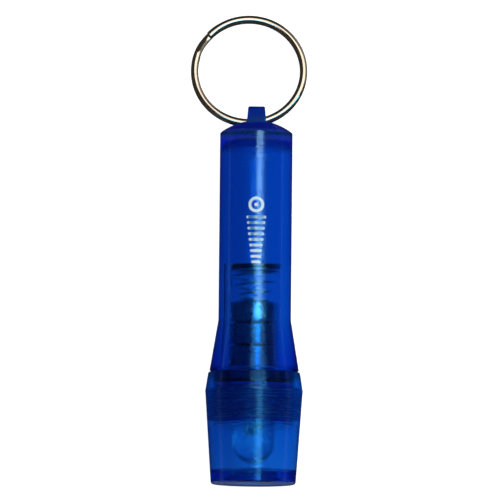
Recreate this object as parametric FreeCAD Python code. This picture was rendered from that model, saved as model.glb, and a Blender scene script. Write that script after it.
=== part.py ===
import FreeCAD, Part
import math
import os

# Keychain flashlight, millimetres. The torch axis is the Y axis: the lens rim is at
# y = 0, the key ring lug at the far end, and +Z is up when the torch lies down.
Vector = FreeCAD.Vector
ORIGIN = Vector(0, 0, 0)
TORCH_AXIS = Vector(0, 1, 0)
X_AXIS = Vector(1, 0, 0)

# Head: a tapered cup that is widest near its open end
LENS_RIM_R = 10.2
HEAD_WIDEST_R = 11.7
HEAD_WIDEST_Y = 22.4
HEAD_WIDEST_BLEND = 0.5
HEAD_MOUTH_R = 11.04
HEAD_END_Y = 26.8
HEAD_CAVITY_R = 9.7
HEAD_BORE_R = 9.95
HEAD_STEP_Y = 14.0
WINDOW_BACK_Y = 2.6

# Front lens in its stepped seat
LENS_FLANGE_R = 6.7
LENS_PLUG_R = 5.9
LENS_SEAT_Y = 1.2
LENS_EDGE_BEVEL = 0.2
LENS_CROWN_Y = 4.1

# Screw thread between head and barrel
THREAD_PITCH = 0.8
THREAD_TURNS = 9
THREAD_START_Y = 15.2
THREAD_BASE = 0.5
THREAD_CREST = 0.15
THREAD_HEIGHT = 0.4

# Barrel: spigot, flared mouth, tube, domed tail
SPIGOT_END_Y = 14.7
SPIGOT_ROOT_R = 9.45
SPIGOT_NECK_R = 9.8
SPIGOT_BORE_R = 7.2
SHOULDER_Y = 27.05
FLARE_R = 10.7
FLARE_END_Y = 39.4
BARREL_R = 8.7
CELL_BORE_R = 6.45
CELL_BORE_START_Y = 27.3
UPPER_BORE_R = 6.2
UPPER_BORE_START_Y = 52.65
BORE_END_Y = 83.4
BORE_DOME_HEIGHT = 2.8
TAIL_RIM_Y = 84.4
TAIL_APEX_Y = 87.5

# Seal
SEAL_GROOVE_R = 8.95
SEAL_GROOVE_Y = 23.75
SEAL_GROOVE_WIDTH = 1.2
SEAL_SECTION_R = 0.46

# Key ring lug: a round-topped fin, drilled along X
LUG_THICKNESS = 4.0
LUG_DRAFT = 0.25
LUG_R = 4.3
LUG_CENTRE_Y = 86.6
RING_HOLE_Y = 87.0
RING_HOLE_R = 1.8
RING_NOTCH_R = 2.4

# Split ring: two flat turns of one wire, lying off centre and drooping
RING_MEAN_R = 13.1
RING_WIRE_WIDTH = 1.75
RING_WIRE_THICKNESS = 0.86
RING_WIRE_EDGE_WIDTH = 1.4
RING_WIRE_EDGE_THICKNESS = 0.56
RING_TURN_SPACING = 0.94
RING_OFFSET_X = -1.9
RING_DROOP_DEG = 13.6
RING_STEP_START_DEG = 137
RING_STEP_SWEEP_DEG = 26

# Button cells, LR44 size
CELL_COUNT = 3
CELL_R = 5.8
CELL_HEIGHT = 5.4
CELL_STACK_Y = 27.6
CAN_WALL = 0.25
CAP_R = 4.7
CELL_MOUTH_R = 5.15

# Tail contact cup and conical spring
TAIL_CUP_R = 6.15
TAIL_CUP_Y = 51.6
TAIL_CUP_DEPTH = 1.0
TAIL_CUP_WALL = 0.3
SPRING_WIRE_R = 0.28
SPRING_LARGE_R = 5.6
SPRING_SMALL_R = 3.3
SPRING_PITCH = 2.35

# Contact strip in its slot, at an angle round the bore from +Z towards -X
STRIP_ANGLE_DEG = 60
STRIP_WIDTH = 2.0
STRIP_THICKNESS = 0.25
STRIP_INNER = 6.42
STRIP_START_Y = 27.5
STRIP_SLOT_WIDTH = 2.4
STRIP_SLOT_OUTER = 6.75
STRIP_BUMP_WIDTH = 1.2
STRIP_BUMP_LENGTH = 0.8

# LED carrier
CARRIER_R = 7.0
CARRIER_FLANGE_R = 9.75
CARRIER_FLANGE_Y = 14.05
CARRIER_FLANGE_THICKNESS = 0.55
CARRIER_END_Y = 26.8
CARRIER_POCKET_R = 5.6
CARRIER_HOLLOW_R = 4.8
CARRIER_HOLLOW_END_Y = 23.4
LEAD_CLEARANCE = 0.08

# Ten millimetre LED, its base on the step in the carrier
LED_R = 5.0
LED_FLANGE_R = 5.5
LED_FLANGE_THICKNESS = 1.9
LED_BASE_Y = 18.5
LED_LENGTH = 13.3
LEAD_X = 1.27
LEAD_SIZE = 0.5
LEAD_FRAME_Y = 13.4
CUP_R = 0.85
CUP_DEPTH = 0.5

FRONT_CONTACT_R = 3.2
FRONT_CONTACT_THICKNESS = 0.25
FRONT_CONTACT_GAP = 0.05
LEAF_INNER = 6.12
LEAF_THICKNESS = 0.22
LEAF_WIDTH = 1.6
LEAF_START_Y = 22.0
LEAF_END_Y = 29.2


def turned(*stops):
    """Solid turned about the torch axis. A stop is (r, y), reached by a straight line,
    or (r_mid, y_mid, r, y), reached by an arc through the middle point."""
    edges = []
    here = Vector(stops[-1][-2], stops[-1][-1], 0)
    for stop in stops:
        there = Vector(stop[-2], stop[-1], 0)
        if len(stop) == 4:
            edges.append(Part.Arc(here, Vector(stop[0], stop[1], 0), there).toShape())
        else:
            edges.append(Part.LineSegment(here, there).toShape())
        here = there
    return Part.Face(Part.Wire(edges)).revolve(ORIGIN, TORCH_AXIS, 360)


def cap_stop(edge_r, edge_y, apex_y):
    """Stop for turned() that ends a spherical cap on the axis, from its edge to its apex."""
    height = apex_y - edge_y
    sphere_r = (edge_r ** 2 + height ** 2) / (2 * abs(height))
    mid_r = edge_r / 2
    sag = sphere_r - math.sqrt(sphere_r ** 2 - mid_r ** 2)
    return mid_r, apex_y - math.copysign(sag, height), 0, apex_y


def cylinder(radius, start_y, end_y):
    return Part.makeCylinder(radius, end_y - start_y, Vector(0, start_y, 0), TORCH_AXIS)


def cross_cylinder(radius, y, half_length):
    """Cylinder along X through the torch axis at height y."""
    return Part.makeCylinder(radius, 2 * half_length, Vector(-half_length, y, 0), X_AXIS)


def block(x0, x1, y0, y1, z0, z1):
    return Part.makeBox(x1 - x0, y1 - y0, z1 - z0, Vector(x0, y0, z0))


def at_strip_angle(shape):
    """Turns a shape made on the +Z side round to the contact strip's place."""
    turned_shape = shape.copy()
    turned_shape.rotate(ORIGIN, TORCH_AXIS, -STRIP_ANGLE_DEG)
    return turned_shape


def bar(start, end, size):
    """Square bar of a given size between two points, its ends half a size longer."""
    along = end - start
    length = along.Length + size
    rod = Part.makeBox(size, size, length, Vector(-size / 2, -size / 2, -size / 2))
    rod.Placement = FreeCAD.Placement(start, FreeCAD.Rotation(Vector(0, 0, 1), along))
    return rod


def thread_ridge(base_r, direction, start_y):
    """Helical ridge of a right-hand thread. direction is +1 outwards, -1 inwards."""
    bury = 0.05 * direction
    helix = Part.makeHelix(THREAD_PITCH, THREAD_PITCH * THREAD_TURNS, base_r)
    corners = [
        Vector(base_r - bury, 0, -THREAD_BASE / 2),
        Vector(base_r + direction * THREAD_HEIGHT, 0, -THREAD_CREST / 2),
        Vector(base_r + direction * THREAD_HEIGHT, 0, THREAD_CREST / 2),
        Vector(base_r - bury, 0, THREAD_BASE / 2),
    ]
    section = Part.makePolygon(corners + corners[:1])
    ridge = Part.Wire(helix.Edges).makePipeShell([section], True, True)
    ridge.rotate(ORIGIN, X_AXIS, -90)
    ridge.translate(Vector(0, start_y, 0))
    return ridge


def barrel_outside():
    """Spigot, seal groove, flare, tube and domed tail as one turned shape."""
    groove_end_y = SEAL_GROOVE_Y + SEAL_GROOVE_WIDTH
    thread_end_y = THREAD_START_Y + THREAD_PITCH * (THREAD_TURNS + 0.5) + 0.25
    return turned(
        (0, SPIGOT_END_Y),
        (SPIGOT_ROOT_R - 0.25, SPIGOT_END_Y),
        (SPIGOT_ROOT_R, SPIGOT_END_Y + 0.25),
        (SPIGOT_ROOT_R, thread_end_y),
        (SPIGOT_NECK_R, thread_end_y + 0.2),
        (SPIGOT_NECK_R, SEAL_GROOVE_Y),
        (SEAL_GROOVE_R, SEAL_GROOVE_Y),
        (SEAL_GROOVE_R, groove_end_y),
        (SPIGOT_NECK_R, groove_end_y),
        (SPIGOT_NECK_R, SHOULDER_Y),
        (FLARE_R - 0.25, SHOULDER_Y),
        (FLARE_R, SHOULDER_Y + 0.3),
        (BARREL_R, FLARE_END_Y),
        (BARREL_R, TAIL_RIM_Y),
        cap_stop(BARREL_R, TAIL_RIM_Y, TAIL_APEX_Y),
    )


def lug_fin():
    """Fin that thickens towards its foot, with a rounded rim."""
    fin = cross_cylinder(LUG_R, LUG_CENTRE_Y, LUG_THICKNESS / 2 + LUG_DRAFT)
    top_y = LUG_CENTRE_Y + LUG_R
    half_top = LUG_THICKNESS / 2
    half_foot = half_top + LUG_DRAFT
    profile = Part.makePolygon([
        Vector(-half_foot, LUG_CENTRE_Y - LUG_R, -LUG_R),
        Vector(-half_foot, TAIL_APEX_Y, -LUG_R),
        Vector(-half_top, top_y, -LUG_R),
        Vector(half_top, top_y, -LUG_R),
        Vector(half_foot, TAIL_APEX_Y, -LUG_R),
        Vector(half_foot, LUG_CENTRE_Y - LUG_R, -LUG_R),
        Vector(-half_foot, LUG_CENTRE_Y - LUG_R, -LUG_R),
    ])
    fin = fin.common(Part.Face(profile).extrude(Vector(0, 0, 2 * LUG_R)))
    rims = [edge for edge in fin.Edges if edge.CenterOfMass.y > TAIL_APEX_Y + 1]
    return fin.makeFillet(0.35, rims)


def make_barrel():
    thread = thread_ridge(SPIGOT_ROOT_R, 1, THREAD_START_Y + THREAD_PITCH / 2)
    body = barrel_outside().fuse(thread)
    notch = cross_cylinder(RING_NOTCH_R, RING_HOLE_Y, BARREL_R)
    body = body.cut(notch).fuse(lug_fin())
    body = body.cut(cross_cylinder(RING_HOLE_R, RING_HOLE_Y, LUG_THICKNESS))
    bore = turned(
        (0, SPIGOT_END_Y - 1),
        (SPIGOT_BORE_R, SPIGOT_END_Y - 1),
        (SPIGOT_BORE_R, CELL_BORE_START_Y),
        (CELL_BORE_R, CELL_BORE_START_Y),
        (CELL_BORE_R, UPPER_BORE_START_Y),
        (UPPER_BORE_R, UPPER_BORE_START_Y),
        (UPPER_BORE_R, BORE_END_Y - BORE_DOME_HEIGHT),
        cap_stop(UPPER_BORE_R, BORE_END_Y - BORE_DOME_HEIGHT, BORE_END_Y),
    )
    half_slot = STRIP_SLOT_WIDTH / 2
    slot = block(-half_slot, half_slot, CELL_BORE_START_Y - 0.5, UPPER_BORE_START_Y,
                 CELL_BORE_R - 1, STRIP_SLOT_OUTER)
    return body.cut(bore).cut(at_strip_angle(slot))


def make_o_ring():
    seal_y = SEAL_GROOVE_Y + SEAL_GROOVE_WIDTH / 2
    seal_r = SEAL_GROOVE_R + SEAL_SECTION_R + 0.01
    return Part.makeTorus(seal_r, SEAL_SECTION_R, Vector(0, seal_y, 0), TORCH_AXIS)


def ring_section(angle_deg, z):
    """Pillow-shaped section of the ring wire in the radial plane at an angle: four arcs
    between four corner points."""
    corner_x = RING_WIRE_EDGE_WIDTH / 2
    corner_z = RING_WIRE_EDGE_THICKNESS / 2
    corners = [(-corner_x, -corner_z), (corner_x, -corner_z), (corner_x, corner_z), (-corner_x, corner_z)]
    half_width = RING_WIRE_WIDTH / 2
    half_thickness = RING_WIRE_THICKNESS / 2
    crests = [(0, -half_thickness), (half_width, 0), (0, half_thickness), (-half_width, 0)]
    points = [Vector(RING_MEAN_R + x, 0, z + up) for x, up in corners]
    middles = [Vector(RING_MEAN_R + x, 0, z + up) for x, up in crests]
    edges = []
    for index in range(4):
        start, end = points[index], points[(index + 1) % 4]
        edges.append(Part.Arc(start, middles[index], end).toShape())
    section = Part.Face(Part.Wire(edges))
    section.rotate(ORIGIN, Vector(0, 0, 1), angle_deg)
    return section


def make_split_ring():
    half_gap = RING_TURN_SPACING / 2
    turn_start = RING_STEP_START_DEG + RING_STEP_SWEEP_DEG
    turn_sweep = 360 - RING_STEP_SWEEP_DEG
    upper = ring_section(turn_start, half_gap).revolve(ORIGIN, Vector(0, 0, 1), turn_sweep)
    lower = ring_section(turn_start, -half_gap).revolve(ORIGIN, Vector(0, 0, 1), turn_sweep)
    steps = 8
    sections = []
    for step in range(steps + 1):
        share = step / steps
        angle = RING_STEP_START_DEG + share * RING_STEP_SWEEP_DEG
        z = -half_gap * math.cos(math.pi * share)
        sections.append(ring_section(angle, z).OuterWire)
    crossing = Part.makeLoft(sections, True, False)
    ring = upper.fuse(crossing).fuse(lower)
    reach = math.sqrt(RING_MEAN_R ** 2 - RING_OFFSET_X ** 2)
    ring.translate(Vector(RING_OFFSET_X, reach, 0))
    ring.rotate(ORIGIN, X_AXIS, -RING_DROOP_DEG)
    ring.translate(Vector(0, RING_HOLE_Y, 0))
    return ring


def make_tail_contact():
    cup_end = TAIL_CUP_Y + TAIL_CUP_DEPTH
    inner_r = TAIL_CUP_R - TAIL_CUP_WALL
    cup = turned(
        (0, TAIL_CUP_Y),
        (TAIL_CUP_R - 0.3, TAIL_CUP_Y),
        (TAIL_CUP_R, TAIL_CUP_Y + 0.3),
        (TAIL_CUP_R, cup_end),
        (inner_r, cup_end),
        (inner_r, TAIL_CUP_Y + TAIL_CUP_WALL),
        (0, TAIL_CUP_Y + TAIL_CUP_WALL),
    )
    return cup.cut(cylinder(1.5, TAIL_CUP_Y - 1, cup_end))


def make_battery_spring():
    """Conical spring with a flat closed coil at each end."""
    stack_end = CELL_STACK_Y + CELL_COUNT * CELL_HEIGHT
    small_y = stack_end + SPRING_WIRE_R
    large_y = TAIL_CUP_Y - SPRING_WIRE_R
    height = large_y - small_y
    cone_deg = math.degrees(math.atan((SPRING_LARGE_R - SPRING_SMALL_R) / height))
    helix = Part.makeHelix(SPRING_PITCH, height, SPRING_SMALL_R, cone_deg)
    disc = Part.makeCircle(SPRING_WIRE_R, Vector(SPRING_SMALL_R, 0, 0), Vector(0, 1, 0))
    coil = Part.Wire(helix.Edges).makePipeShell([Part.Wire(disc)], True, True)
    coil.rotate(ORIGIN, X_AXIS, -90)
    coil.translate(Vector(0, small_y, 0))
    small_coil = Part.makeTorus(SPRING_SMALL_R, SPRING_WIRE_R, Vector(0, small_y, 0), TORCH_AXIS)
    large_coil = Part.makeTorus(SPRING_LARGE_R, SPRING_WIRE_R, Vector(0, large_y, 0), TORCH_AXIS)
    return coil.fuse(small_coil).fuse(large_coil)


def make_contact_strip():
    """Strip with a pressed bump that bears on the side of the tail contact cup."""
    half = STRIP_WIDTH / 2
    bump_half = STRIP_BUMP_WIDTH / 2
    outer = STRIP_INNER + STRIP_THICKNESS
    top_y = UPPER_BORE_START_Y - 0.1
    strip = block(-half, half, STRIP_START_Y, top_y, STRIP_INNER, outer)
    bump = block(-bump_half, bump_half, top_y - STRIP_BUMP_LENGTH, top_y, TAIL_CUP_R + 0.01, STRIP_INNER)
    return at_strip_angle(strip.fuse(bump))


def make_cell_can(base_y):
    wall_r = CELL_R - CAN_WALL
    return turned(
        (0, base_y),
        (CELL_R - 0.35, base_y),
        (CELL_R - 0.1, base_y + 0.1, CELL_R, base_y + 0.35),
        (CELL_R, base_y + 4.6),
        (CELL_R - 0.13, base_y + 4.95, CELL_MOUTH_R, base_y + 5.1),
        (CELL_MOUTH_R, base_y + 4.8),
        (wall_r, base_y + 4.5),
        (wall_r, base_y + CAN_WALL),
        (0, base_y + CAN_WALL),
    )


def make_cell_seal(base_y):
    return turned(
        (CAP_R + 0.02, base_y + 3.9),
        (CELL_R - CAN_WALL - 0.02, base_y + 3.9),
        (CELL_R - CAN_WALL - 0.02, base_y + 4.48),
        (CELL_MOUTH_R - 0.02, base_y + 4.78),
        (CELL_MOUTH_R - 0.02, base_y + 5.18),
        (CAP_R + 0.02, base_y + 5.18),
    )


def make_cell_cap(base_y):
    top = base_y + CELL_HEIGHT
    return turned(
        (0, top - CAN_WALL),
        (CAP_R - CAN_WALL, top - CAN_WALL),
        (CAP_R - CAN_WALL, base_y + 3.6),
        (CAP_R, base_y + 3.6),
        (CAP_R, top - 0.3),
        (CAP_R - 0.1, top - 0.08, CAP_R - 0.3, top),
        (0, top),
    )


def cathode_path():
    rear = Vector(LEAD_X, CARRIER_END_Y - LEAD_SIZE / 2, 0)
    return [Vector(LEAD_X, LEAD_FRAME_Y + LEAD_SIZE / 2, 0), rear]


def anode_path():
    """From the LED back into the carrier, then out to the side contact leaf."""
    turn_y = LEAF_START_Y + 0.8
    angle = math.radians(STRIP_ANGLE_DEG)
    reach = LEAF_INNER - LEAD_SIZE / 2
    leaf_point = Vector(-reach * math.sin(angle), turn_y, reach * math.cos(angle))
    return [Vector(-LEAD_X, LEAD_FRAME_Y, 0), Vector(-LEAD_X, turn_y, 0), leaf_point]


def lead(path, size):
    shape = bar(path[0], path[1], size)
    for start, end in zip(path[1:], path[2:]):
        shape = shape.fuse(bar(start, end, size))
    return shape


def make_led_carrier():
    flange_end = CARRIER_FLANGE_Y + CARRIER_FLANGE_THICKNESS
    carrier = turned(
        (0, CARRIER_FLANGE_Y),
        (CARRIER_FLANGE_R, CARRIER_FLANGE_Y),
        (CARRIER_FLANGE_R, flange_end),
        (CARRIER_R, flange_end),
        (CARRIER_R, CARRIER_END_Y),
        (0, CARRIER_END_Y),
    )
    carrier = carrier.cut(cylinder(CARRIER_POCKET_R, CARRIER_FLANGE_Y - 1, LED_BASE_Y))
    carrier = carrier.cut(cylinder(CARRIER_HOLLOW_R, LED_BASE_Y - 1, CARRIER_HOLLOW_END_Y))
    channel = LEAD_SIZE + 2 * LEAD_CLEARANCE
    for path in (cathode_path(), anode_path()):
        carrier = carrier.cut(lead(path, channel))
    slot_half = LEAF_WIDTH / 2 + 0.15
    slot = block(-slot_half, slot_half, LEAF_START_Y - 0.4, CARRIER_END_Y + 1,
                 LEAF_INNER - LEAD_CLEARANCE, CARRIER_R + 0.5)
    return carrier.cut(at_strip_angle(slot))


def make_led_body():
    front_y = LED_BASE_Y - LED_FLANGE_THICKNESS
    tip_y = LED_BASE_Y - LED_LENGTH
    body = turned(
        (0, LED_BASE_Y),
        (LED_FLANGE_R, LED_BASE_Y),
        (LED_FLANGE_R, front_y),
        (LED_R, front_y),
        (LED_R, tip_y + LED_R),
        cap_stop(LED_R, tip_y + LED_R, tip_y),
    )
    flat = block(LED_R + 0.08, LED_FLANGE_R + 1, front_y - 0.5, LED_BASE_Y + 0.5, -4, 4)
    return body.cut(flat)


def reflector_cup():
    """Round cup on the cathode's post, open towards the lens."""
    mouth_y = LEAD_FRAME_Y - 1.0
    outside = Part.makeCone(CUP_R * 0.75, CUP_R, 1.0, Vector(0, LEAD_FRAME_Y, 0), Vector(0, -1, 0))
    inside = Part.makeCone(CUP_R * 0.35, CUP_R * 0.85, CUP_DEPTH,
                           Vector(0, mouth_y + CUP_DEPTH, 0), Vector(0, -1, 0))
    return outside.cut(inside)


def make_cathode_lead():
    anvil = block(-0.45, LEAD_X + 0.25, LEAD_FRAME_Y, LEAD_FRAME_Y + 1.6, -0.25, 0.25)
    stem = lead(cathode_path(), LEAD_SIZE)
    return stem.fuse(anvil).fuse(reflector_cup())


def make_anode_lead():
    post = block(-LEAD_X - 0.25, -0.95, LEAD_FRAME_Y - 1.0, LEAD_FRAME_Y + 1.6, -0.25, 0.25)
    return lead(anode_path(), LEAD_SIZE).fuse(post)


def make_led_chip():
    floor_y = LEAD_FRAME_Y - 1.0 + CUP_DEPTH
    return block(-0.15, 0.15, floor_y - 0.2, floor_y, -0.15, 0.15)


def make_bond_wire():
    chip_top = LEAD_FRAME_Y - 1.0 + CUP_DEPTH - 0.2
    post_top = LEAD_FRAME_Y - 1.0
    start = Vector(0, chip_top, 0)
    end = Vector(-1.1, post_top, 0)
    crest = Vector(-0.5, post_top - 0.55, 0)
    path = Part.Wire(Part.Arc(start, crest, end).toShape())
    tangent = path.Edges[0].tangentAt(path.Edges[0].FirstParameter)
    section = Part.Wire(Part.makeCircle(0.05, start, tangent))
    return path.makePipeShell([section], True, True)


def make_front_contact():
    """Disc on the carrier's rear face, with a raised button towards the first cell."""
    y = CARRIER_END_Y
    top = CELL_STACK_Y - FRONT_CONTACT_GAP
    disc_end = y + FRONT_CONTACT_THICKNESS
    return turned(
        (0, y),
        (FRONT_CONTACT_R, y),
        (FRONT_CONTACT_R, disc_end),
        (1.9, disc_end),
        (1.2, top - 0.15),
        (0.95, top - 0.04, 0.7, top),
        (0, top),
    )


def make_side_contact():
    half = LEAF_WIDTH / 2
    leaf = block(-half, half, LEAF_START_Y, LEAF_END_Y, LEAF_INNER, LEAF_INNER + LEAF_THICKNESS)
    return at_strip_angle(leaf)


def head_outside():
    return turned(
        (0, 0),
        (LENS_RIM_R - 0.3, 0),
        (LENS_RIM_R, 0.3),
        (HEAD_WIDEST_R - 0.04, HEAD_WIDEST_Y - HEAD_WIDEST_BLEND),
        (HEAD_WIDEST_R, HEAD_WIDEST_Y, HEAD_WIDEST_R - 0.09, HEAD_WIDEST_Y + HEAD_WIDEST_BLEND),
        (HEAD_MOUTH_R, HEAD_END_Y - 0.15),
        (HEAD_MOUTH_R - 0.15, HEAD_END_Y),
        (0, HEAD_END_Y),
    )


def make_head_shell():
    cavity = turned(
        (0, WINDOW_BACK_Y),
        (HEAD_CAVITY_R - 0.8, WINDOW_BACK_Y),
        (HEAD_CAVITY_R - 0.24, WINDOW_BACK_Y + 0.24, HEAD_CAVITY_R, WINDOW_BACK_Y + 0.8),
        (HEAD_CAVITY_R, HEAD_STEP_Y),
        (HEAD_BORE_R, HEAD_STEP_Y),
        (HEAD_BORE_R, HEAD_END_Y - 0.2),
        (HEAD_BORE_R + 0.2, HEAD_END_Y),
        (HEAD_BORE_R + 0.2, HEAD_END_Y + 1),
        (0, HEAD_END_Y + 1),
    )
    shell = head_outside().cut(cavity)
    thread = thread_ridge(HEAD_BORE_R, -1, THREAD_START_Y)
    lens_opening = cylinder(LENS_PLUG_R, -1, WINDOW_BACK_Y + 1)
    lens_seat = cylinder(LENS_FLANGE_R, -1, LENS_SEAT_Y)
    return shell.cut(lens_opening).cut(lens_seat).fuse(thread)


def make_front_lens():
    """Plano-convex lens with a flange that sits in the window's step."""
    plug_r = LENS_PLUG_R - 0.02
    return turned(
        (0, 0),
        (LENS_FLANGE_R - LENS_EDGE_BEVEL, 0),
        (LENS_FLANGE_R - 0.02, LENS_EDGE_BEVEL),
        (LENS_FLANGE_R - 0.02, LENS_SEAT_Y),
        (plug_r, LENS_SEAT_Y),
        (plug_r, WINDOW_BACK_Y),
        cap_stop(plug_r, WINDOW_BACK_Y, LENS_CROWN_Y),
    )


def main():
    nodes = {
        "barrel": make_barrel(),
        "o_ring": make_o_ring(),
        "split_ring": make_split_ring(),
        "tail_contact": make_tail_contact(),
        "battery_spring": make_battery_spring(),
        "contact_strip": make_contact_strip(),
        "led_carrier": make_led_carrier(),
        "led_body": make_led_body(),
        "led_cathode_lead": make_cathode_lead(),
        "led_anode_lead": make_anode_lead(),
        "led_chip": make_led_chip(),
        "led_bond_wire": make_bond_wire(),
        "front_contact": make_front_contact(),
        "side_contact": make_side_contact(),
        "head_shell": make_head_shell(),
        "front_lens": make_front_lens(),
    }
    for index in range(CELL_COUNT):
        base_y = CELL_STACK_Y + index * CELL_HEIGHT
        nodes[f"cell_{index + 1}_can"] = make_cell_can(base_y)
        nodes[f"cell_{index + 1}_seal"] = make_cell_seal(base_y)
        nodes[f"cell_{index + 1}_cap"] = make_cell_cap(base_y)
    os.makedirs("parts", exist_ok=True)
    for name, shape in nodes.items():
        shape.exportStep(f"parts/{name}.step")
        print(name, shape.ShapeType, "solids", len(shape.Solids), "valid", shape.isValid(),
              "volume", round(shape.Volume, 2))


main()
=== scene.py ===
import math

import bmesh
import bpy
from mathutils import Matrix, Vector


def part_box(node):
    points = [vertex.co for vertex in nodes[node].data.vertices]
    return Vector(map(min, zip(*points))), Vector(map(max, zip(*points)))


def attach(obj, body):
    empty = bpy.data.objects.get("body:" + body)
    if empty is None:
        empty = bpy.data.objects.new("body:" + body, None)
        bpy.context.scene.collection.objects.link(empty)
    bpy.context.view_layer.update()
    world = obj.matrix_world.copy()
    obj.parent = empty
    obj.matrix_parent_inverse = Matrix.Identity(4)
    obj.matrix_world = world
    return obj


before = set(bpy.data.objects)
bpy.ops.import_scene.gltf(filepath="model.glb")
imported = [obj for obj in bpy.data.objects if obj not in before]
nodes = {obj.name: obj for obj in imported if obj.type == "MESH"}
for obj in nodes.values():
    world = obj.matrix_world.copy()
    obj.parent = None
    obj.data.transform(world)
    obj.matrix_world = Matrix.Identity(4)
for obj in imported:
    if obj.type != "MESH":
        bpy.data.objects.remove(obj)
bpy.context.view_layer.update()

# Lengths are in metres. Y runs along the torch, from the front window at 0 to the key ring.
# A zone is a (start, end) pair, along Y or from the axis, over which a change fades in.
BARREL_R = 0.0087
THREAD_PITCH = 0.0008
HEAD_WIDEST_Y = 0.0224
TAIL_RIM_Y = 0.0844

SPIGOT_CRESTS = (0.0090, 0.0092)
SPIGOT_THREAD_STARTS = (0.0150, 0.0154)
SPIGOT_THREAD_ENDS = (0.0234, 0.0230)
IN_HEAD_THREAD = (0.0103, 0.0101)
HEAD_THREAD_STARTS = (0.0148, 0.0152)
HEAD_THREAD_ENDS = (0.0228, 0.0224)
COLLAR_STARTS = (0.0245, 0.0252)
FRONT_STARTS = (0.0040, 0.0008)
IN_BORE = (0.0066, 0.0063)
OUTSIDE_BORE = (0.0066, 0.0080)
BORE_END_STARTS = (0.0790, 0.0805)
RIM_STARTS = (0.0820, 0.0835)
RIM_ENDS = (0.0850, 0.0845)
LUG_STARTS = (0.0840, 0.0870)
# Part of the helix's sine wave, from -1 to 1, over which a thread line fades in.
LINE_FADES_IN = (-0.2, 0.9)

BARREL_BLUE = (0.42, 0.72, 0.93)
HEAD_BLUE = (0.36, 0.76, 0.97)
LUG_BLUE = (0.22, 0.42, 0.74)
# Painted shade: the thread blue darkens a helix along the spigot's thread.
THREAD_SHADE_BLUE = (0.25, 0.50, 0.75)
RIM_BLUE = (0.03, 0.22, 0.90)
# Painted shade: the collar and front blues darken the head where it overlaps the barrel and towards
# the front rim.
COLLAR_SHADE_BLUE = (0.20, 0.42, 0.45)
FRONT_SHADE_BLUE = (0.20, 0.42, 0.62)
SHELL_GLOSS = (0.38, 0.72, 1.0)
SHELL_IOR = 1.5
ACRYLIC_IOR = 1.49
WALL_PASSES = (0.0, 0.71, 0.94)
WALL_DENSITY = 600.0
SATIN = (0.10, 0.20)
THREAD_ROUGHER = 0.30
BORE_END_ROUGHER = 0.5
RIM_CLOUDINESS = 0.12


# ---------------------------------------------------------------- node helpers

def new_material(name):
    material = bpy.data.materials.new(name)
    material.use_nodes = True
    tree = material.node_tree
    return material, tree, tree.nodes["Principled BSDF"]


def add_node(tree, kind, **inputs):
    node = tree.nodes.new(kind)
    for key, value in inputs.items():
        node.inputs[key].default_value = value
    return node


def noise(tree, scale, detail=4.0):
    """Noise in the piece's own coordinates, with scale in cycles per metre."""
    coordinates = tree.nodes.new("ShaderNodeTexCoord")
    texture = add_node(tree, "ShaderNodeTexNoise", Scale=scale, Detail=detail, Roughness=0.5)
    tree.links.new(coordinates.outputs["Object"], texture.inputs["Vector"])
    return texture.outputs["Fac"]


def spread(tree, factor, low, high):
    """Maps the middle of a noise onto a range."""
    node = tree.nodes.new("ShaderNodeMapRange")
    node.inputs["From Min"].default_value = 0.3
    node.inputs["From Max"].default_value = 0.7
    node.inputs["To Min"].default_value = low
    node.inputs["To Max"].default_value = high
    tree.links.new(factor, node.inputs["Value"])
    return node.outputs["Result"]


def tint(tree, factor, low, high):
    """Colour that drifts between two tones."""
    node = tree.nodes.new("ShaderNodeValToRGB")
    for element, position, colour in zip(node.color_ramp.elements, (0.35, 0.65), (low, high)):
        element.position = position
        element.color = (*colour, 1)
    tree.links.new(factor, node.inputs["Fac"])
    return node.outputs["Color"]


def bump(tree, shader, height, strength, distance):
    node = add_node(tree, "ShaderNodeBump", Strength=strength, Distance=distance)
    tree.links.new(height, node.inputs["Height"])
    tree.links.new(node.outputs["Normal"], shader.inputs["Normal"])


def absorption(tree, colour, density):
    volume = add_node(tree, "ShaderNodeVolumeAbsorption", Color=(*colour, 1), Density=density)
    tree.links.new(volume.outputs["Volume"], tree.nodes["Material Output"].inputs["Volume"])


def math_node(tree, operation, first, second=0.0):
    """One operation on two values, each one a float or another node's output."""
    node = tree.nodes.new("ShaderNodeMath")
    node.operation = operation
    for socket, value in zip(node.inputs, (first, second)):
        if isinstance(value, float):
            socket.default_value = value
        else:
            tree.links.new(value, socket)
    return node.outputs["Value"]


def product(tree, first, *others):
    for other in others:
        first = math_node(tree, "MULTIPLY", first, other)
    return first


def diagonal(tree, first, second):
    """Length of the diagonal of two offsets."""
    return math_node(tree, "SQRT", math_node(
        tree, "ADD", product(tree, first, first), product(tree, second, second)))


def ramp(tree, value, start, end):
    """Factor that goes from 0 at the start value to 1 at the end value."""
    node = tree.nodes.new("ShaderNodeMapRange")
    node.inputs["From Min"].default_value = start
    node.inputs["From Max"].default_value = end
    tree.links.new(value, node.inputs["Value"])
    return node.outputs["Result"]


def mixed(tree, factor, first, second):
    """Blend of two colours, each one a tuple or another node's output."""
    node = tree.nodes.new("ShaderNodeMix")
    node.data_type = "RGBA"
    tree.links.new(factor, node.inputs["Factor"])
    for key, value in (("A", first), ("B", second)):
        if isinstance(value, tuple):
            node.inputs[key].default_value = (*value, 1)
        else:
            tree.links.new(value, node.inputs[key])
    return node.outputs["Result"]


def place(tree):
    """X, Y and Z in the piece's own coordinates."""
    coordinates = tree.nodes.new("ShaderNodeTexCoord")
    split = tree.nodes.new("ShaderNodeSeparateXYZ")
    tree.links.new(coordinates.outputs["Object"], split.inputs["Vector"])
    return [split.outputs[key] for key in "XYZ"]


# ---------------------------------------------------------------- materials

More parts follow.
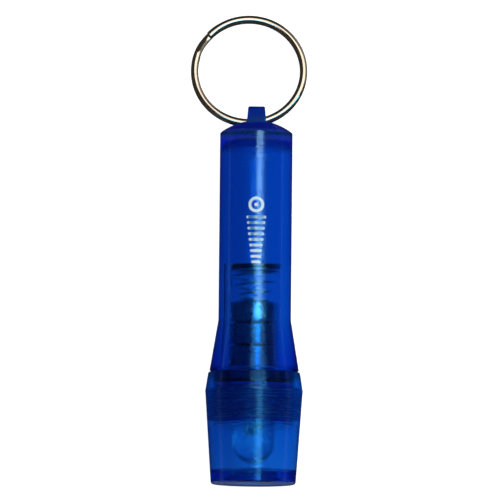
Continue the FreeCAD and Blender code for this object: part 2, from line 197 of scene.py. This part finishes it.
def painted_thread_shade(tree, x, y, z, radius):
    """Painted shade, a faint dark helix along the crests of the spigot's thread, and the thread's
    zone.
    """
    turn = math_node(tree, "DIVIDE", math_node(tree, "ARCTAN2", x, z), math.tau)
    phase = math_node(tree, "ADD", math_node(tree, "DIVIDE", y, THREAD_PITCH), turn)
    wave = math_node(tree, "SINE", product(tree, phase, math.tau))
    zone = product(
        tree,
        ramp(tree, radius, *SPIGOT_CRESTS),
        ramp(tree, y, *SPIGOT_THREAD_STARTS),
        ramp(tree, y, *SPIGOT_THREAD_ENDS),
    )
    return product(tree, zone, ramp(tree, wave, *LINE_FADES_IN)), zone


def blue_plastic(name):
    """Deep blue through the wall, with moulding ripple. Colour and roughness come later."""
    material, tree, shader = new_material(name)
    shader.inputs["Transmission Weight"].default_value = 1.0
    shader.inputs["IOR"].default_value = SHELL_IOR
    shader.inputs["Specular Tint"].default_value = (*SHELL_GLOSS, 1)
    bump(tree, shader, noise(tree, 2600, detail=3), strength=0.12, distance=0.00004)
    absorption(tree, WALL_PASSES, WALL_DENSITY)
    return material, tree, shader


def satin_roughness(tree, shader, *rougher):
    """Satin all over, with (zone, extra roughness) pairs on top."""
    rough = spread(tree, noise(tree, 900), *SATIN)
    for zone, extra in rougher:
        rough = math_node(tree, "ADD", rough, product(tree, zone, extra))
    tree.links.new(rough, shader.inputs["Roughness"])


def barrel_plastic():
    material, tree, shader = blue_plastic("blue_barrel")
    x, y, z = place(tree)
    radius = diagonal(tree, x, z)
    shade_lines, thread = painted_thread_shade(tree, x, y, z, radius)
    rim = product(
        tree,
        ramp(tree, y, *RIM_STARTS),
        ramp(tree, y, *RIM_ENDS),
        ramp(tree, radius, *OUTSIDE_BORE),
    )
    bore_end = product(tree, ramp(tree, radius, *IN_BORE), ramp(tree, y, *BORE_END_STARTS))
    colour = mixed(tree, ramp(tree, y, *LUG_STARTS), BARREL_BLUE, LUG_BLUE)
    # Painted shade: a faint dark helix along the spigot's thread.
    colour = mixed(tree, shade_lines, colour, THREAD_SHADE_BLUE)
    colour = mixed(tree, rim, colour, RIM_BLUE)
    tree.links.new(colour, shader.inputs["Base Color"])
    clear = math_node(tree, "SUBTRACT", 1.0, product(tree, rim, RIM_CLOUDINESS))
    tree.links.new(clear, shader.inputs["Transmission Weight"])
    satin_roughness(tree, shader, (thread, THREAD_ROUGHER), (bore_end, BORE_END_ROUGHER))
    return material


def head_plastic():
    material, tree, shader = blue_plastic("blue_head")
    x, y, z = place(tree)
    radius = diagonal(tree, x, z)
    # Painted shade: darker blue at the collar, where the head overlaps the barrel, and towards the
    # front rim.
    colour = mixed(tree, ramp(tree, y, *COLLAR_STARTS), HEAD_BLUE, COLLAR_SHADE_BLUE)
    colour = mixed(tree, ramp(tree, y, *FRONT_STARTS), colour, FRONT_SHADE_BLUE)
    tree.links.new(colour, shader.inputs["Base Color"])
    thread = product(
        tree,
        ramp(tree, radius, *IN_HEAD_THREAD),
        ramp(tree, y, *HEAD_THREAD_STARTS),
        ramp(tree, y, *HEAD_THREAD_ENDS),
    )
    satin_roughness(tree, shader, (thread, THREAD_ROUGHER))
    return material


def clear_plastic(name, colour, roughness, gloss):
    material, tree, shader = new_material(name)
    shader.inputs["Specular Tint"].default_value = (*gloss, 1)
    shader.inputs["Base Color"].default_value = (*colour, 1)
    shader.inputs["Transmission Weight"].default_value = 1.0
    shader.inputs["IOR"].default_value = ACRYLIC_IOR
    rough = spread(tree, noise(tree, 700), roughness * 0.6, roughness * 1.4)
    tree.links.new(rough, shader.inputs["Roughness"])
    bump(tree, shader, noise(tree, 500, detail=2), strength=0.05, distance=0.00002)
    return material


def metal(name, dark, bright, roughness, grain=1500, depth=0.00001):
    material, tree, shader = new_material(name)
    shader.inputs["Metallic"].default_value = 1.0
    fine = noise(tree, grain)
    tree.links.new(tint(tree, noise(tree, grain * 0.25), dark, bright), shader.inputs["Base Color"])
    rough = spread(tree, fine, roughness * 0.85, roughness * 1.2)
    tree.links.new(rough, shader.inputs["Roughness"])
    bump(tree, shader, fine, strength=0.15, distance=depth)
    return material


def opaque(name, dark, bright, roughness, grain=1200):
    material, tree, shader = new_material(name)
    fine = noise(tree, grain)
    tree.links.new(tint(tree, fine, dark, bright), shader.inputs["Base Color"])
    rough = spread(tree, fine, roughness * 0.8, roughness * 1.2)
    tree.links.new(rough, shader.inputs["Roughness"])
    bump(tree, shader, fine, strength=0.2, distance=0.00002)
    return material


def use(material, *names):
    for name in names:
        slots = nodes[name].data.materials
        slots.clear()
        slots.append(material)


use(barrel_plastic(), "barrel")
use(head_plastic(), "head_shell")
use(clear_plastic("clear_acrylic", (0.80, 0.90, 1.0), 0.10, gloss=(0.15, 0.45, 0.7)), "led_carrier")
use(clear_plastic("clear_window", (0.75, 0.90, 1.0), 0.05, gloss=(0.4, 0.75, 1.0)), "front_lens")
use(clear_plastic("led_epoxy", (0.80, 0.97, 1.0), 0.20, gloss=(0.3, 0.8, 1.0)), "led_body")
use(metal("warm_nickel", (0.80, 0.68, 0.54), (0.93, 0.83, 0.70), 0.10, grain=700, depth=0.000002),
    "split_ring")
use(metal("spring_steel", (0.82, 0.82, 0.84), (0.95, 0.95, 0.95), 0.35), "battery_spring")
use(metal("tinned_brass", (0.16, 0.15, 0.13), (0.30, 0.28, 0.24), 0.35),
    "tail_contact", "front_contact", "side_contact")
use(metal("tinned_strip", (0.80, 0.78, 0.76), (0.92, 0.90, 0.88), 0.30), "contact_strip")
use(metal("lead_silver", (0.35, 0.35, 0.36), (0.5, 0.5, 0.5), 0.4),
    "led_cathode_lead", "led_anode_lead")
use(metal("gold", (0.8, 0.5, 0.15), (1.0, 0.76, 0.33), 0.2), "led_bond_wire")
use(opaque("led_phosphor", (0.7, 0.55, 0.05), (0.95, 0.85, 0.2), 0.5), "led_chip")
use(opaque("nitrile", (0.008, 0.008, 0.009), (0.02, 0.02, 0.022), 0.55), "o_ring")
cell_steel = metal("cell_nickel", (0.62, 0.62, 0.60), (0.68, 0.68, 0.66), 0.28,
                   grain=500, depth=0.000001)
cell_nylon = opaque("cell_nylon", (0.02, 0.02, 0.025), (0.05, 0.05, 0.055), 0.5)
for number in (1, 2, 3):
    use(cell_steel, f"cell_{number}_can", f"cell_{number}_cap")
    use(cell_nylon, f"cell_{number}_seal")


# ---------------------------------------------------------------- print on the barrel

INK_LOW = 0.000003
INK_HIGH = 0.000018
INK_SHIFT = 0.00015
PRINT_RING_Y = 0.0666
FIRST_BAR_Y = 0.0636
BAR_STEP = 0.00135
BAR_COUNT = 9


def ink_shape(mesh, first, second, closed):
    """Thin closed patch on the barrel between two rows of (across, along) points."""
    rows = []
    for (u_a, v_a), (u_b, v_b) in zip(first, second):
        row = []
        for height in (INK_LOW, INK_HIGH):
            for u, v in ((u_a, v_a), (u_b, v_b)):
                reach = BARREL_R + height
                angle = (u + INK_SHIFT) / BARREL_R
                row.append(mesh.verts.new((reach * math.sin(angle), v, reach * math.cos(angle))))
        rows.append(row)
    pairs = list(zip(rows, rows[1:]))
    if closed:
        pairs.append((rows[-1], rows[0]))
    else:
        for row in (rows[0], rows[-1]):
            mesh.faces.new((row[0], row[1], row[3], row[2]))
    for here, there in pairs:
        for a, b in ((0, 1), (1, 3), (3, 2), (2, 0)):
            mesh.faces.new((here[a], here[b], there[b], there[a]))


def ink_bar(mesh, along, half_width, half_height, steps=16):
    """Round-ended bar that lies across the barrel."""
    upper, lower = [], []
    for step in range(steps + 1):
        angle = math.pi * (step / steps - 0.5)
        swell = half_height * max(math.cos(angle), 0.02)
        across = half_height * math.sin(angle)
        across += math.copysign(half_width - half_height, angle) if step * 2 != steps else 0.0
        upper.append((across, along + swell))
        lower.append((across, along - swell))
    ink_shape(mesh, upper, lower, False)


def ink_ring(mesh, along, outer, inner, steps=48):
    turns = [math.tau * step / steps for step in range(steps)]
    edges = [[(r * math.cos(t), along + r * math.sin(t)) for t in turns] for r in (outer, inner)]
    ink_shape(mesh, *edges, True)


def print_on_barrel():
    """Plain white printed graphic: a dotted ring, and bars that shorten towards the cells."""
    mesh = bmesh.new()
    ink_ring(mesh, PRINT_RING_Y, outer=0.0019, inner=0.0012)
    ink_bar(mesh, PRINT_RING_Y, half_width=0.0005, half_height=0.00045)
    for step in range(BAR_COUNT):
        ink_bar(mesh, FIRST_BAR_Y - BAR_STEP * step,
                half_width=0.0024 - 0.00016 * step, half_height=0.00034)
    bmesh.ops.recalc_face_normals(mesh, faces=mesh.faces)
    data = bpy.data.meshes.new("barrel_print")
    mesh.to_mesh(data)
    piece = bpy.data.objects.new("barrel_print", data)
    bpy.context.scene.collection.objects.link(piece)
    ink = opaque("white_ink", (0.84, 0.88, 0.92), (0.96, 0.98, 1.0), 0.45, grain=3000)
    data.materials.append(ink)
    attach(piece, "barrel")


# ---------------------------------------------------------------- floor

HEAD_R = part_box("head_shell")[1].z
FLOOR_TILT = math.atan((HEAD_R - BARREL_R) / (TAIL_RIM_Y - HEAD_WIDEST_Y))
FLOOR_SIZE = 6.0
FLOOR_GLOW = 0.96
SHADE_LEFT = (0.06, 0.135, 0.44)
SHADE_RIGHT = (0.08, 0.24, 0.68)
GLOSS_UNDER_TORCH = (0.01, 0.02, 0.09)
GLOSS_UNDER_RING = (0.02, 0.015, 0.011)
GLOSS_IN_FRONT = (0.45, 0.60, 0.78)
GLOSS_FAR_OFF = (0.42, 0.40, 0.38)
SHADE_TURNS = (-0.006, 0.006)
RING_BEGINS = (0.040, 0.050)
FRONT_BEGINS = (-0.022, -0.034)
GLOSS_FADES = (0.12, 0.35)


def make_plane(name, drop):
    """Square plane a drop below the one that meets the head's widest ring and the tail."""
    mesh = bpy.data.meshes.new(name)
    corners = [(x * FLOOR_SIZE, y * FLOOR_SIZE, 0) for x, y in ((-1, -1), (1, -1), (1, 1), (-1, 1))]
    mesh.from_pydata(corners, [], [(0, 1, 2, 3)])
    plane = bpy.data.objects.new(name, mesh)
    bpy.context.scene.collection.objects.link(plane)
    plane.rotation_euler = (FLOOR_TILT, 0, 0)
    plane.location = (0, HEAD_WIDEST_Y, -HEAD_R - drop)
    material, tree, shader = new_material(name)
    shader.inputs["Roughness"].default_value = 0.9
    shader.inputs["Specular IOR Level"].default_value = 0.0
    mesh.materials.append(material)
    plane.visible_glossy = False
    return plane, tree, shader


def make_glowing_plane(name, drop):
    """Black plane with a glow of its own that isn't seen directly and lights nothing diffuse."""
    plane, tree, shader = make_plane(name, drop)
    shader.inputs["Base Color"].default_value = (0, 0, 0, 1)
    shader.inputs["Emission Strength"].default_value = 1.0
    plane.visible_camera = False
    plane.visible_diffuse = False
    return plane, tree, shader


def make_gloss_floor():
    """Painted reflection of the floor, a glow that only shiny surfaces see: dim blue as painted
    shade under the torch, dim warm under the ring, and pale in front and far off.
    """
    gloss, tree, shader = make_glowing_plane("floor_gloss", 0.0003)
    x, y, _ = place(tree)
    glow = mixed(tree, ramp(tree, y, *RING_BEGINS), GLOSS_UNDER_TORCH, GLOSS_UNDER_RING)
    glow = mixed(tree, ramp(tree, y, *FRONT_BEGINS), glow, GLOSS_IN_FRONT)
    glow = mixed(tree, ramp(tree, diagonal(tree, x, y), *GLOSS_FADES), glow, GLOSS_FAR_OFF)
    tree.links.new(glow, shader.inputs["Emission Color"])
    gloss.visible_glossy = True
    gloss.visible_transmission = False


def make_shade_floor():
    """The blue shade that the plastic casts on the floor, seen only through the plastic."""
    _, tree, shader = make_glowing_plane("floor_shade", 0.0002)
    x = place(tree)[0]
    glow = mixed(tree, ramp(tree, x, *SHADE_TURNS), SHADE_LEFT, SHADE_RIGHT)
    tree.links.new(glow, shader.inputs["Emission Color"])


def make_floor():
    """Pale floor. Its own glow keeps it near white, so it shows almost no shadow."""
    floor, _, shader = make_plane("floor", 0.0001)
    shader.inputs["Base Color"].default_value = (0.6, 0.6, 0.6, 1)
    shader.inputs["Emission Color"].default_value = (1, 1, 1, 1)
    shader.inputs["Emission Strength"].default_value = FLOOR_GLOW
    floor.visible_transmission = False


# ---------------------------------------------------------------- light and camera

STRIP_HEIGHT = 0.6
LOW_STRIP_HEIGHT = 0.59
TOP_FILL_HEIGHT = 2.0
WORLD_GREY = (0.03, 0.03, 0.03)
WORLD_BLUE = (0.02, 0.05, 0.15)
CAMERA_TIP = math.radians(4.4)
CAMERA_ROLL = math.radians(0.54)
CAMERA_DISTANCE = 4.0
CAMERA_TARGET = Vector((-0.00127, 0.0563, 0))
PICTURE_WIDTH = 0.120
SENSOR_WIDTH = 36.0


def make_panel(name, x, y, radiance, colour=(1, 1, 1), height=STRIP_HEIGHT, mirrored=True):
    """Level lamp that faces down and covers the given ranges of x and y."""
    width = x[1] - x[0]
    length = y[1] - y[0]
    lamp = bpy.data.lights.new(name, "AREA")
    lamp.shape = "RECTANGLE"
    lamp.size = width
    lamp.size_y = length
    lamp.energy = radiance * math.pi * width * length
    lamp.color = colour
    thing = bpy.data.objects.new(name, lamp)
    bpy.context.scene.collection.objects.link(thing)
    thing.location = (sum(x) / 2, sum(y) / 2, height)
    thing.visible_glossy = mirrored
    thing.visible_transmission = mirrored
    return thing


def keep_off_ring(*lamps):
    """The strips that draw the torch's highlights don't light the key ring."""
    skipped = bpy.data.collections.new("not_lit_by_strips")
    skipped.objects.link(nodes["split_ring"])
    skipped.collection_objects[0].light_linking.link_state = "EXCLUDE"
    for lamp in lamps:
        lamp.light_linking.receiver_collection = skipped


def make_lights():
    keep_off_ring(
        make_panel("key_strip", x=(0.025, 0.22), y=(0.078, 0.19),
                   radiance=9.8, colour=(0.84, 0.93, 1.0)),
        make_panel("key_edge", x=(0.22, 0.30), y=(0.078, 0.19),
                   radiance=2.4, colour=(0.78, 0.93, 1.0)),
        make_panel("cell_strip", x=(-0.06, 0.40), y=(0.0805, 0.0885),
                   radiance=18.0, colour=(0.50, 0.97, 1.0), height=LOW_STRIP_HEIGHT),
        make_panel("thread_strip", x=(0.025, 0.22), y=(0.052, 0.078),
                   radiance=0.4, colour=(0.5, 0.9, 1.0)),
        make_panel("lens_strip", x=(0.08, 0.22), y=(-0.14, 0.05),
                   radiance=3.6, colour=(0.30, 0.88, 1.0)),
    )
    make_panel("collar_fill", x=(-0.10, 0.30), y=(0.22, 0.34), radiance=0.5)
    make_panel("collar_strip", x=(-0.10, 0.36), y=(0.255, 0.300),
               radiance=5.0, colour=(0.12, 0.60, 1.0), height=LOW_STRIP_HEIGHT)
    make_panel("ring_strip", x=(-0.05, 0.38), y=(0.33, 0.64),
               radiance=1.35, colour=(1.0, 0.93, 0.84))
    make_panel("ring_side", x=(0.38, 1.30), y=(0.40, 1.40),
               radiance=0.20, colour=(1.0, 0.93, 0.86))
    make_panel("top_fill", x=(-1.0, 1.0), y=(-1.0, 1.0), radiance=1.1,
               colour=(0.80, 0.92, 1.0), height=TOP_FILL_HEIGHT, mirrored=False)


def make_camera():
    """Long lens nearly overhead, tipped a little towards the lens end."""
    camera = bpy.data.cameras.new("camera")
    camera.sensor_width = SENSOR_WIDTH
    camera.lens = SENSOR_WIDTH * CAMERA_DISTANCE / PICTURE_WIDTH
    camera.clip_end = 20.0
    thing = bpy.data.objects.new("camera", camera)
    bpy.context.scene.collection.objects.link(thing)
    back = Vector((0, -math.sin(CAMERA_TIP), math.cos(CAMERA_TIP)))
    turn = Matrix.Rotation(CAMERA_TIP, 4, "X") @ Matrix.Rotation(CAMERA_ROLL, 4, "Z")
    thing.matrix_world = Matrix.Translation(CAMERA_TARGET + back * CAMERA_DISTANCE) @ turn
    bpy.context.scene.camera = thing


def make_world():
    """Dim grey, and dim blue for refracted rays that miss the floor."""
    world = bpy.data.worlds.new("world")
    world.use_nodes = True
    tree = world.node_tree
    path = tree.nodes.new("ShaderNodeLightPath")
    sky = mixed(tree, path.outputs["Is Transmission Ray"], WORLD_GREY, WORLD_BLUE)
    tree.links.new(sky, tree.nodes["Background"].inputs["Color"])
    bpy.context.scene.world = world


print_on_barrel()
make_floor()
make_shade_floor()
make_gloss_floor()
make_world()
make_lights()
make_camera()

# Light crosses many clear walls here, and the default limits leave the inner ones black.
scene = bpy.context.scene
scene.view_settings.view_transform = "Standard"
scene.cycles.max_bounces = 24
scene.cycles.transmission_bounces = 24
scene.cycles.glossy_bounces = 12
